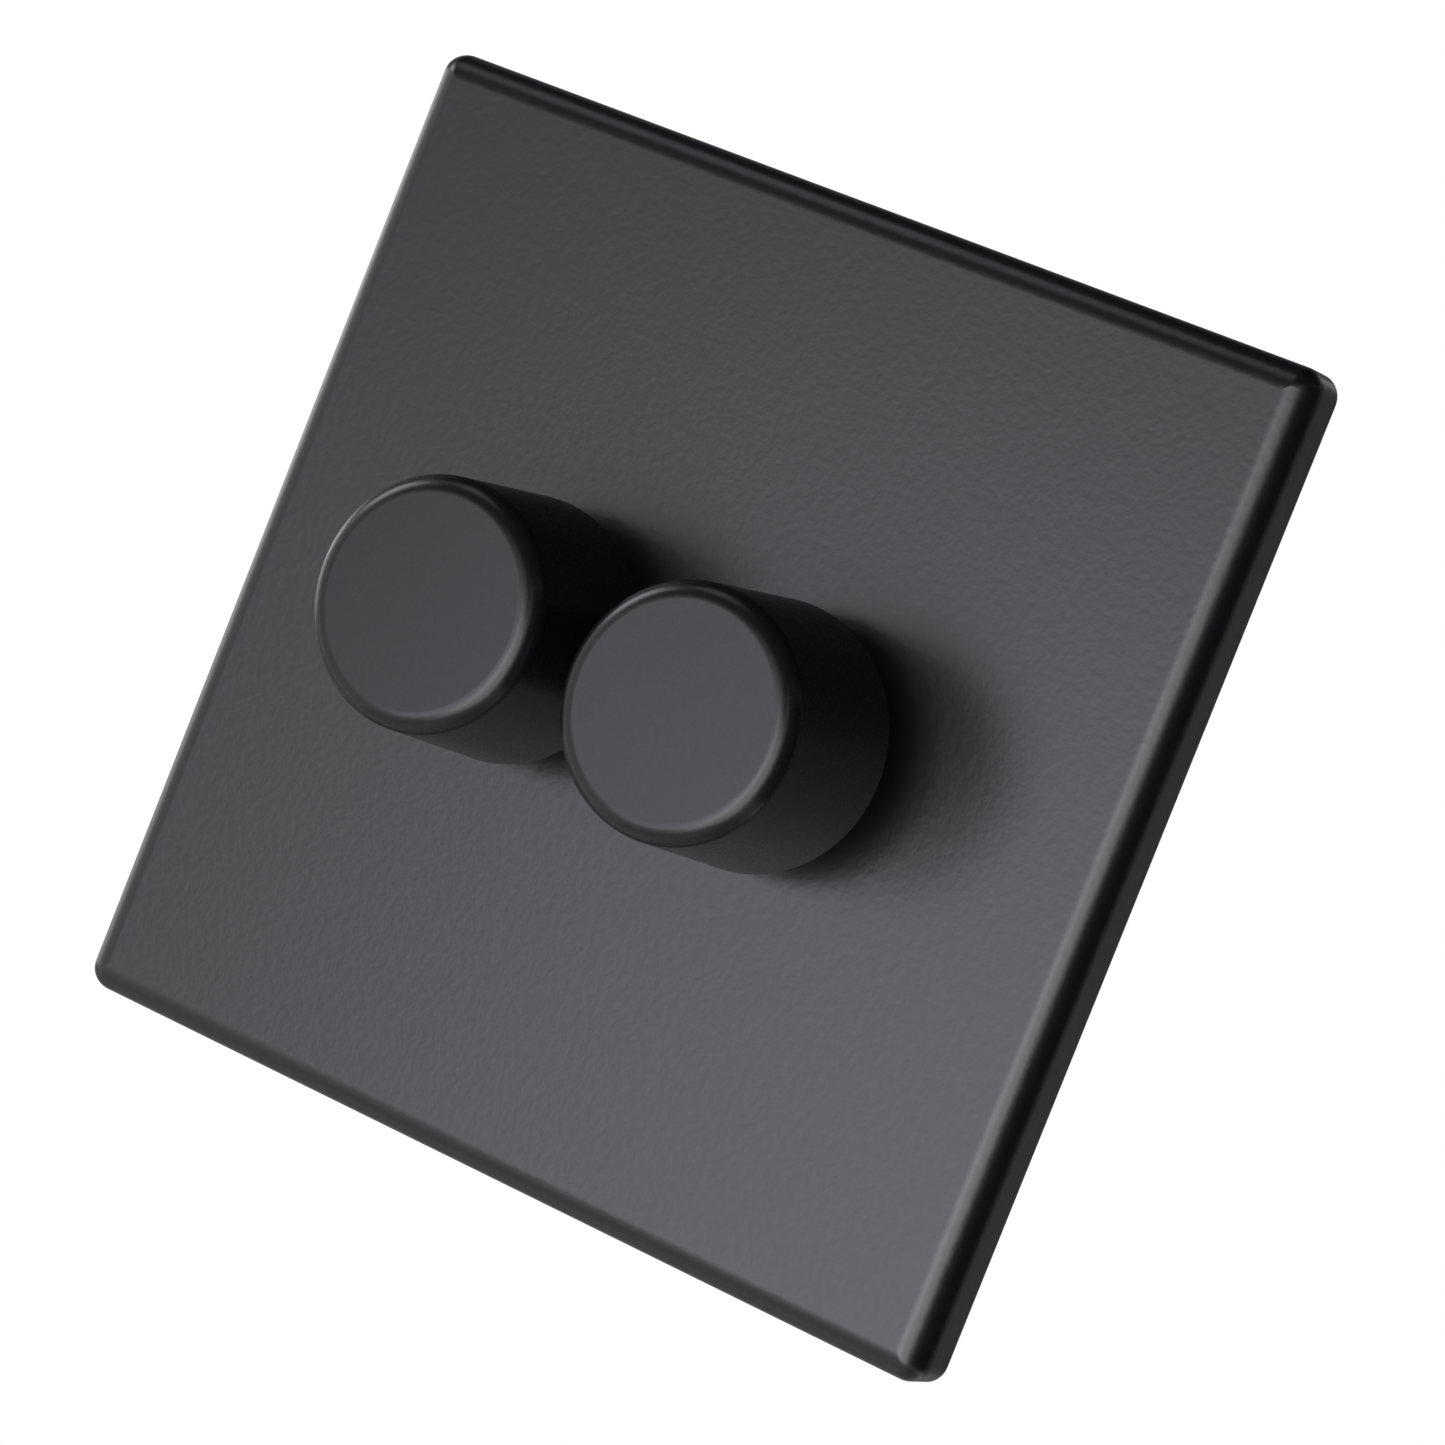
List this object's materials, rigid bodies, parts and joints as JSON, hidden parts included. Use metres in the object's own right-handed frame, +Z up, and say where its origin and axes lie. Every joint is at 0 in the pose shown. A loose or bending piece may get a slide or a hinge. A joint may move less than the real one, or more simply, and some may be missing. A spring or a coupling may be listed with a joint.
{
  "type": "rotary dimmer switch",
  "caption": "Square screwless wall plate with rotary push dimmers side by side: each round knob turns to dim and pushes in to switch a lamp on or off.",
  "frame": {"origin": "centre of the plate on the wall plane, between the wall box screws", "axes": "+X to the right seen from the front, +Y into the wall, +Z up; the plate faces -Y"},
  "size_m": [0.086, 0.0507, 0.086],
  "materials": {
    "black_powder_coat": "satin powder coat with a fine orange peel",
    "black_knob": "smooth satin",
    "black_nylon": "moulded",
    "zinc_steel": "bright zinc plate",
    "spring_steel": "drawn",
    "brass": "bright",
    "nickel_brass": "nickel plated",
    "aluminium": "turned",
    "foam": "closed-cell foam",
    "grey_case": "moulded, fine spark texture",
    "glass_fibre_board": "solder mask",
    "brown_phenolic": "laminate",
    "white_acetal": "moulded",
    "blue_polyester": "moulded",
    "epoxy": "moulded",
    "enamelled_copper": "enamelled wire",
    "yellow_film": "gloss box",
    "ceramic": "matt",
    "green_terminal": "moulded"
  },
  "bodies": {
    "base": {"front_plate": "black_powder_coat", "clip_frame": "black_nylon", "yoke_plate": "zinc_steel", "wall_gasket": "foam", "fixing_screw_left": "zinc_steel", "fixing_screw_right": "zinc_steel", "earth_lug": "brass", "earth_screw": "brass", "module_case_left": "grey_case", "rear_cover_left": "grey_case", "threaded_bush_left": "nickel_brass", "bush_washer_left": "zinc_steel", "bush_nut_left": "nickel_brass", "pot_housing_left": "zinc_steel", "track_wafer_left": "brown_phenolic", "switch_body_left": "blue_polyester", "return_spring_left": "spring_steel", "circuit_board_left": "glass_fibre_board", "heat_sink_left": "aluminium", "power_transistor_left": "epoxy", "choke_left": "enamelled_copper", "capacitor_left": "yellow_film", "fuse_left": "ceramic", "terminal_block_left": "green_terminal", "terminal_screw_a_left": "zinc_steel", "terminal_screw_b_left": "zinc_steel", "terminal_screw_c_left": "zinc_steel", "module_case_right": "grey_case", "rear_cover_right": "grey_case", "threaded_bush_right": "nickel_brass", "bush_washer_right": "zinc_steel", "bush_nut_right": "nickel_brass", "pot_housing_right": "zinc_steel", "track_wafer_right": "brown_phenolic", "switch_body_right": "blue_polyester", "return_spring_right": "spring_steel", "circuit_board_right": "glass_fibre_board", "heat_sink_right": "aluminium", "power_transistor_right": "epoxy", "choke_right": "enamelled_copper", "capacitor_right": "yellow_film", "fuse_right": "ceramic", "terminal_block_right": "green_terminal", "terminal_screw_a_right": "zinc_steel", "terminal_screw_b_right": "zinc_steel", "terminal_screw_c_right": "zinc_steel"},
    "plunger_left": {"switch_plunger_left": "white_acetal"},
    "plunger_right": {"switch_plunger_right": "white_acetal"},
    "knob_left": {"knob_left": "black_knob", "spindle_left": "aluminium", "spindle_clip_left": "spring_steel", "knob_spring_left": "spring_steel"},
    "knob_right": {"knob_right": "black_knob", "spindle_right": "aluminium", "spindle_clip_right": "spring_steel", "knob_spring_right": "spring_steel"},
    "wiper_left": {"wiper_rotor_left": "white_acetal"},
    "wiper_right": {"wiper_rotor_right": "white_acetal"}
  },
  "joints": [
    {"name": "push_left", "type": "slide", "parent": "base", "child": "plunger_left", "axis": [0, 1, 0], "range_m": [0, 0.0015], "stiffness_N_per_m": 900, "springref_m": -0.001, "deforming": ["return_spring_left"]},
    {"name": "push_right", "type": "slide", "parent": "base", "child": "plunger_right", "axis": [0, 1, 0], "range_m": [0, 0.0015], "stiffness_N_per_m": 900, "springref_m": -0.001, "deforming": ["return_spring_right"]},
    {"name": "turn_left", "type": "hinge", "parent": "plunger_left", "child": "knob_left", "pos_m": [-0.0123, -0.0107, 0], "axis": [0, 1, 0], "range_deg": [-135, 135]},
    {"name": "turn_right", "type": "hinge", "parent": "plunger_right", "child": "knob_right", "pos_m": [0.0123, -0.0107, 0], "axis": [0, 1, 0], "range_deg": [-135, 135]},
    {"name": "wipe_left", "type": "hinge", "parent": "base", "child": "wiper_left", "pos_m": [-0.0123, 0.0057, 0], "axis": [0, 1, 0], "range_deg": [-135, 135]},
    {"name": "wipe_right", "type": "hinge", "parent": "base", "child": "wiper_right", "pos_m": [0.0123, 0.0057, 0], "axis": [0, 1, 0], "range_deg": [-135, 135]}
  ],
  "couplings": [
    {"joint": "wipe_left", "follows": "turn_left", "ratio": 1},
    {"joint": "wipe_right", "follows": "turn_right", "ratio": 1}
  ]
}
